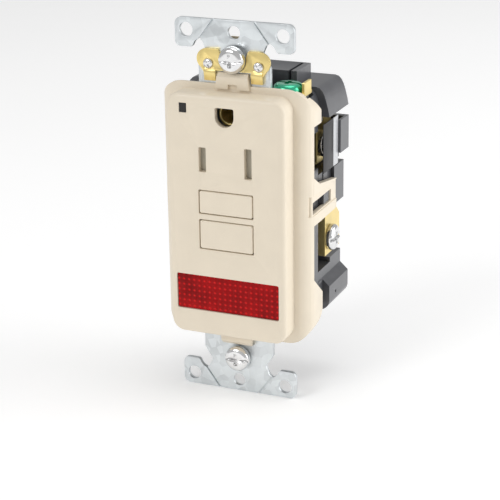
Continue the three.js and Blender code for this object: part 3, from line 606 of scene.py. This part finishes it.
def mounting_strap():
    right = strap_half()
    right = right + [(x, -z) for x, z in reversed(right)]
    outline = right + [(-x, z) for x, z in reversed(right)]
    deep = (STRAP_FRONT - PASS, PASS)
    sheet = slab("y", outline, (STRAP_FRONT, 0))
    tab = join(block((8.5, 16.5), (STRAP_FRONT, 9.2), (30.4, 31.6)),
               block((12, 16.5), (STRAP_FRONT, 0), (28.6, 31.5)))
    cutters = []
    for up in (1, -1):
        cutters.append(rod("y", (0, up * BOX_SCREW_Z), deep, 2.3))
        cutters.append(rod("y", (0, up * WALLPLATE_Z), deep, 1.75))
        for side in (1, -1):
            cutters.append(rod("y", (side * EAR_HOLE[0], up * EAR_HOLE[1]), deep, 1.9))
            start, end = Vector((side * 5.3, up * 52.2)), Vector((side * 9.9, up * 45.9))
            away = (end - start).orthogonal().normalized() * SCORE["half_width"]
            score = [start + away, end + away, end - away, start - away]
            depth = (STRAP_FRONT - PASS, STRAP_FRONT + SCORE["depth"])
            cutters.append(slab("y", [(p.x, p.y) for p in score], depth))
    cutters += [
        block((-9.6, 9.6), deep, (9.4, 22.6)), block((-9, 9), deep, (-10, -1.4)),
        block((-9, 9), deep, (1.4, 8)), block((-11, 11), deep, (-26, -17)),
        rod("y", (0, GROUND_HOLE["z"]), deep, 3.6), block((-13.2, -10.2), deep, (27.8, 31.1)),
        *[rod("y", (side * RIVET[0], RIVET[1]), deep, 1.25) for side in (1, -1)],
        rod("z", GROUND_SCREW_AT, (29, 33), 2.3),
    ]
    strap = cut(join(sheet, tab), *cutters)
    finish(strap, "zinc_strap", "housing", "zinc_steel", "zinc", "mounting_strap", edge=0.1)


def grounding_clip():
    """Two lobes round the screw and legs that lie on the strap, with a crest above each leg."""
    plate_y = (-1.85, -1.25)
    plate = slab("y", rounded((-10.3, 10.3), (38.4, 44.0), 2.79, 12), plate_y)
    shape = cut(plate, rod("y", (0, BOX_SCREW_Z), (-3, 0), 3.66),
                slab("y", [(-3.4, 41.9), (3.4, 41.9), (4.6, 45), (-4.6, 45)], (-3, 0)))
    legs = []
    for side in (1, -1):
        profile = [(-1.25, 39), (-1.85, 39), (-2.15, 38.3), (-2.3, 37.8), (-2.1, 36.9), (-1.95, 35.6),
                   (-1.25, 35.6)]
        legs.append(slab("x", profile, across(side, (5.0, 8.2))))
        legs.append(slab("y", [(side * 8.1, 39.5), (side * 8.1, 37.4), (side * 9.6, 39.5)], plate_y))
    shape = join(shape, *legs)
    shape = cut(shape, *[rod("y", (side * RIVET[0], RIVET[1]), (-3, 0), 1.25) for side in (1, -1)])
    finish(shape, "brass_clip", "housing", "brass", "brass", "self_grounding_clip", edge=0.14)


def star_recess(axis, centre, depth, half, width, turn):
    """Cutters for two crossed grooves, turned by an angle in degrees."""
    grooves = []
    for angle in (turn, turn + 90):
        c, s = math.cos(math.radians(angle)), math.sin(math.radians(angle))
        corners = [(-half, -width), (half, -width), (half, width), (-half, width)]
        outline = [(centre[0] + u * c - v * s, centre[1] + u * s + v * c) for u, v in corners]
        grooves.append(slab(axis, outline, depth))
    return grooves


def rivets():
    for side, name in ((1, "right"), (-1, "left")):
        at = (side * RIVET[0], RIVET[1])
        made = turned("y", at, [(0, -2.5), (0.6, -2.55), (1.0, -2.42), (1.3, -2.2), (1.32, -1.95),
                                (1.1, -1.9), (1.1, 0.1), (1.75, 0.1), (1.75, 0.4), (1.4, 0.5), (0, 0.5)])
        made = cut(made, *star_recess("y", at, (-3, -2.15), 1.0, 0.2, 30))
        finish(made, "swaged_rivet_" + name, "housing", "brass", "chrome", "clip_rivet_" + name,
               edge=0.05)


def screw_head(axis, centre, base, radius, height, way):
    """A pan head with a rolled rim; way is the direction its top faces."""
    profile = [(0, base), (radius - 0.15, base), (radius, base + way * 0.2),
               (radius, base + way * height * 0.42)]
    for i in range(1, 8):
        angle = math.radians(90 * i / 7)
        profile.append((radius - radius * 0.42 * (1 - math.cos(angle)),
                        base + way * height * (0.42 + 0.58 * math.sin(angle))))
    profile.append((0, base + way * height))
    return turned(axis, centre, profile)


def slotted(axis, centre, top, way, half_slot, cross, depth):
    """Cutters for a slot with a cross recess in the middle."""
    deep = sorted((top - way * depth, top + way * PASS))
    cutters = []
    for (u, v) in ((half_slot, 0.5), (0.55, cross), (cross, 0.62)):
        outline = [(centre[0] - u, centre[1] - v), (centre[0] + u, centre[1] - v),
                   (centre[0] + u, centre[1] + v), (centre[0] - u, centre[1] + v)]
        cutters.append(slab(axis, outline, deep))
    return cutters


# Screws: head radius and height, shank radius and pitch, then the slot's half length, its
# cross recess and its depth.
BOX_SCREW = {"head": (3.55, 2.4), "shank": (1.72, 0.8), "slot": (4.2, 1.75, 1.1), "tip": 17.9}
TERMINAL_SCREW = {"head": (3.6, 2), "shank": (2.05, 0.794), "slot": (4.2, 1.7, 0.85), "length": 4.7}
GROUND_SCREW = {"head": (4, 2.3), "shank": (2.05, 0.794), "slot": (4.6, 1.7, 0.9), "foot": 28}
SUNK = 0.3  # how far a shank runs up into its head


def mounting_screw(up, seat, name):
    """A box screw whose head rests at the seat, a distance along Y."""
    centre = (0, up * BOX_SCREW_Z)
    radius, height = BOX_SCREW["head"]
    head = screw_head("y", centre, seat - 0.05, radius, height, -1)
    made = join(head, threaded("y", centre, (seat - 0.4, BOX_SCREW["tip"]), *BOX_SCREW["shank"]))
    made = cut(made, *slotted("y", centre, seat - 2.45, -1, *BOX_SCREW["slot"]))
    finish(made, "box_screw_" + name, name + "_screw_body", "plated_steel", "chrome",
           "mounting_screw_" + name, edge=0.08)


def terminal_screw(end, pole, side, z, under):
    """A binding screw; under is how far out its head starts."""
    centre = (TERMINAL_Y, z)
    radius, height = TERMINAL_SCREW["head"]
    head = screw_head("x", centre, side * under, radius, height, side)
    shank = (side * (under - TERMINAL_SCREW["length"]), side * (under + SUNK))
    made = join(head, threaded("x", centre, shank, *TERMINAL_SCREW["shank"]))
    top = side * (under + height)
    made = cut(made, *slotted("x", centre, top, side, *TERMINAL_SCREW["slot"]))
    steel = pole == "neutral"
    finish(made, f"{end}_{pole}_binding_screw", f"{end}_{pole}_screw_body",
           "plated_steel" if steel else "brass_screw", "chrome" if steel else "brass_turned",
           f"{end}_{pole}_screw", edge=0.08)


def ground_screw():
    centre, seat = GROUND_SCREW_AT, 32.8
    radius, height = GROUND_SCREW["head"]
    head = screw_head("z", centre, seat, radius, height, 1)
    made = join(head, threaded("z", centre, (GROUND_SCREW["foot"], seat + SUNK), *GROUND_SCREW["shank"]))
    made = cut(made, *slotted("z", centre, seat + height, 1, *GROUND_SCREW["slot"]))
    finish(made, "green_ground_screw", "ground_screw_body", "green_screw", "green", "ground_screw",
           edge=0.1)


# ---------- springs ----------

def spring(at, turns, radius):
    """A coil; at gives a point from the share of its length and the angle turned."""
    count = int(turns * COIL_STEPS)
    return wire([at(i / count, 2 * math.pi * turns * i / count) for i in range(count + 1)], radius)


def springs():
    reset = spring(lambda t, a: (2.2 * math.cos(a), -3.8 + 3.7 * t, PIN_Z + 2.2 * math.sin(a)),
                   4.5, 0.28)
    finish(reset, "reset_coil", "housing", "spring_steel", "spring", "reset_spring", edge=0)
    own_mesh(reset)
    plunger = spring(lambda t, a: (2.6 * math.cos(a), 18 + 2.6 * math.sin(a), 0.1 + 2 * t), 3, 0.22)
    finish(plunger, "plunger_coil", "housing", "spring_steel", "spring", "plunger_spring", edge=0)
    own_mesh(plunger)
    shutter = spring(lambda t, a: (-4.5 + 9 * t, -5.5 + 0.6 * math.cos(a), BLADE_Z + 0.6 * math.sin(a)),
                     8, 0.16)
    finish(shutter, "shutter_coil", "housing", "spring_steel", "spring", "shutter_spring", edge=0)
    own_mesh(shutter)


# ---------- housings ----------

HOUSING_TOP = 32.5
# The upper shoulder, as steps in from the housing's side and down from its top.
SHOULDER = [(0, 8.5), (0.4, 6.2), (1, 3.8), (1.5, 2.3), (2.1, 1.1), (2.9, 0.3), (3.9, 0)]


def rear_outline(inset):
    """The rear housing seen from behind, without its crown; the inset is mostly sideways."""
    half = REAR[0][1] - inset
    low, high = REAR[2][0] + inset / 4, HOUSING_TOP - inset / 4
    foot = 3
    shoulder = [(half - x, high - z) for x, z in SHOULDER]
    return (arc((half - foot, low + foot), foot, -90, 0, 8) + shoulder
            + [(-x, z) for x, z in reversed(shoulder)]
            + arc((foot - half, low + foot), foot, 180, 270, 8))


def housing_bays(side):
    """Cutters that open one side: the load bay, the snap leg's recess and the line bay."""
    out, core, past = 22.2, 14.4, 28.2
    slope = [(side * 18.9, -16), (side * 18.9, -20.9), (side * 21.2, -23), (side * out, -23),
             (side * out, -16)]
    return [
        # load bay
        block(across(side, (core, out)), (8.3, 25.6), (9.5, 23.5)),
        block(across(side, (core, out)), (12.5, past), (21.7, 24.6)),
        block(across(side, (12, out)), (8.3, 10.5), (21.7, 24.3)),
        block(across(side, (core + 4, out)), (21.2, past), (9.55, 12.6)),
        # recess for the snap leg
        block(across(side, (19.4, out)), (8.3, 18.1), (-2.3, 9.6)),
        block(across(side, (20.4, out)), (18, past), (-2.35, 9.65)),
        block(across(side, (12, out)), (25.5, past), (-2.4, 9.7)),
        # line bay
        block(across(side, (core, out)), (8.3, 19), (-18.3, -2.2)),
        block(across(side, (core, out)), (18, past), (-17, -1.2)),
        block(across(side, (12, 16.2)), (22.1, 23.5), (-20.7, -16.9)),
        block(across(side, (core - 0.1, 16.25)), (19.7, 23.4), (-20.65, -16.8)),
        slab("y", slope, (8.3, past)),
        # screw shanks, and the small hole low in the side
        rod("x", (TERMINAL_Y, LINE_Z), across(side, (12, 15)), 2.6),
        rod("x", (TERMINAL_Y, LOAD_Z), across(side, (12, 15)), 2.6),
        rod("x", (17.5, -26), across(side, (20.7, 22)), 0.45),
    ]


def back_details():
    """Wire entry holes, release slots and a gauge groove in the back of the rear housing."""
    cutters = []
    for side in (1, -1):
        for z in (LOAD_Z + 3.4, LOAD_Z - 3.4, LINE_Z + 3.4, LINE_Z - 2.4):
            cutters.append(rod("y", (side * 10.6, z), (26.4, 28.2), 1.35))
        for z in (24.5, -24.5):
            cutters.append(rod("y", (side * 9.4, z), (26.5, 28.2), 2.1))
    cutters.append(slab("y", rounded((-5.5, 5.5), (-15, 13), 1.2), (26.9, 28.2)))
    return cutters


def rear_housing():
    """The back shell: a raised rear part, a crown on top, flaps over the load bays and hooks."""
    crown = cut(block((-12, 12), (12.3, 22.5), (30.5, 36.3)),
                *[block(across(side, (9.6, 10.4)), (11.3, 21.5), (33.5, 40)) for side in (1, -1)])
    shell = join(slab("y", rear_outline(2), (REAR[1][0] - 0.15, 26)),
                 slab("y", rear_outline(0), (12.5, 27.2)), crown)
    inside = block((-12.8, 12.8), (8.3, 25.6), (-28.5, 31))
    recess = block((8, 17.2), (8.3, 11), (30, 33.5))
    bays = [c for side in (1, -1) for c in housing_bays(side)]
    shell = cut(shell, inside, recess, *bays, *back_details())
    extras = []
    for side in (1, -1):
        flap = [(20.4, 20.9), (21.2, 20.9), (21.2, 27.2), (13.4, 27.2), (13.4, 25.6), (20.4, 25.6)]
        extras.append(slab("z", [(side * x, y) for x, y in flap], (12.6, 21.7)))
        extras.append(block(across(side, (18, 20.6)), (9.6, 13.4), (1.5, 4.2)))
        extras.append(block(across(side, (18, 19.4)), (9.25, 13.4), (1.55, 4.15)))
    shell = join(shell, *extras)
    finish(shell, "black_rear_housing", "housing", "black_plastic", "black", "rear_housing", edge=0.3)


# The film's near-black colour is painted shade.
TAPE_SEAM = 17.2  # where the dark film ends and its pale rear strip begins


def load_tapes():
    """A film over each load terminal, coloured near black as painted shade for the shadowed load bay,
    with a pale strip along its rear edge.
    """
    for pole in ("neutral", "hot"):
        node = f"load_{pole}_tape"
        x, y, z = extent(node)
        finish(block(x, (y[0], TAPE_SEAM), z), f"{pole}_terminal_painted_shade_film", "housing", "load_tape", "film",
               node, edge=0.04)
        finish(block(x, (TAPE_SEAM, y[1]), z), f"{pole}_terminal_strip", "housing", "load_tape", "strip",
               edge=0.04)


CAD_PIECES = {
    "black": ["middle_housing"],
    "chip": ["shutter_frame", "control_chip", "thyristor"],
    "brass": ["test_contact_blade", "hot_contact", "neutral_contact", "ground_contact", "ground_clamp",
              "line_neutral_terminal", "line_hot_terminal", "load_neutral_terminal",
              "load_hot_terminal", "line_neutral_clamp", "line_hot_clamp", "load_neutral_clamp",
              "load_hot_clamp"],
    "steel": ["reset_pin", "solenoid_plunger", "latch_plate"],
    "white": ["pilot_reflector", "status_led", "contact_lifter"],
    "glass": ["pilot_lamp"],
    "guide": ["status_light_pipe"],
    "grey": ["left_shutter", "right_shutter"],
    "copper": ["hot_contact_arm", "neutral_contact_arm"],
    "winding": ["solenoid_coil"],
    "fibre": ["screw_washer_top", "screw_washer_bottom"],
    "board": ["circuit_board"],
    "ferrite": ["sense_transformer", "grounded_neutral_transformer"],
    "nylon": ["transformer_boat", "solenoid_bobbin"],
    "blue": ["varistor"],
    "red_dip": ["capacitor"],
}
THIN_EDGE = {"test_contact_blade": 0.06}


# ---------- stage ----------

CAMERA = {"at": (167.042, -380.231, 138.687), "azimuth": 23.3129, "elevation": 19.8188,
          "roll": -0.8138, "lens": 118.454}


def camera():
    azimuth, elevation, roll = (math.radians(CAMERA[k]) for k in ("azimuth", "elevation", "roll"))
    back = Vector((math.sin(azimuth) * math.cos(elevation), -math.cos(azimuth) * math.cos(elevation),
                   math.sin(elevation)))
    level = Vector((math.cos(azimuth), math.sin(azimuth), 0))
    upright = back.cross(level)
    right = level * math.cos(roll) + upright * math.sin(roll)
    up = upright * math.cos(roll) - level * math.sin(roll)
    data = bpy.data.cameras.new("camera")
    data.lens = CAMERA["lens"]
    data.sensor_width = 36
    data.clip_start = 0.01
    made = bpy.data.objects.new("camera", data)
    place_at = Matrix((right, up, back)).transposed().to_4x4()
    place_at.translation = Vector(CAMERA["at"]) * MM
    made.matrix_world = place_at
    bpy.context.scene.collection.objects.link(made)
    bpy.context.scene.camera = made


def light(name, at, size, power):
    """A round soft light that faces the object; its place and size are in metres."""
    data = bpy.data.lights.new(name, "AREA")
    data.shape = "DISK"
    data.size = size
    data.energy = power
    made = bpy.data.objects.new(name, data)
    made.location = at
    made.rotation_euler = (Vector((0, 0, 0)) - Vector(at)).to_track_quat("-Z", "Y").to_euler()
    bpy.context.scene.collection.objects.link(made)


def stage():
    bm = bmesh.new()
    bmesh.ops.create_grid(bm, x_segments=2, y_segments=2, size=6)
    mesh = bpy.data.meshes.new("floor")
    bm.to_mesh(mesh)
    bm.free()
    floor = bpy.data.objects.new("floor", mesh)
    floor.location.z = CAD_BOX[0][2] - 0.0001
    pale = look("pale_floor", (0.96, 0.96, 0.96), 0.8, vary=0.004, grain=20, bump=0)
    shader = pale.node_tree.nodes["Principled BSDF"]
    shader.inputs["Emission Color"].default_value = (1, 1, 1, 1)
    shader.inputs["Emission Strength"].default_value = 0.16
    floor.data.materials.append(pale)
    bpy.context.scene.collection.objects.link(floor)
    world = bpy.data.worlds.new("studio")
    world.use_nodes = True
    tree = world.node_tree
    sky = tree.nodes["Background"]
    sky.inputs["Color"].default_value = (1, 1, 1, 1)
    seen = tree.nodes.new("ShaderNodeMapRange")
    seen.inputs["To Min"].default_value = 0.5
    seen.inputs["To Max"].default_value = 1.05
    tree.links.new(tree.nodes.new("ShaderNodeLightPath").outputs["Is Camera Ray"], seen.inputs["Value"])
    tree.links.new(seen.outputs["Result"], sky.inputs["Strength"])
    bpy.context.scene.world = world
    light("key", (-0.35, -0.75, 0.55), 0.45, 2.4)
    light("rear_right", (0.75, 0.25, 0.25), 0.8, 4.0)
    light("top", (0.05, 0.1, 0.9), 0.6, 1.5)
    bpy.context.scene.view_settings.view_transform = "Standard"


face_cover()
buttons()
pilot_lens()
mounting_strap()
grounding_clip()
rivets()
mounting_screw(1, -1.95, "top")
mounting_screw(-1, -1.3, "bottom")
for pole_name, pole_side in (("neutral", 1), ("hot", -1)):
    terminal_screw("line", pole_name, pole_side, LINE_Z, 19.5)
    terminal_screw("load", pole_name, pole_side, LOAD_Z, 17.1)
ground_screw()
springs()
load_tapes()
rear_housing()
for look_name, names in CAD_PIECES.items():
    for node in names:
        dress(node, look_name, THIN_EDGE.get(node, 0.1))
camera()
stage()
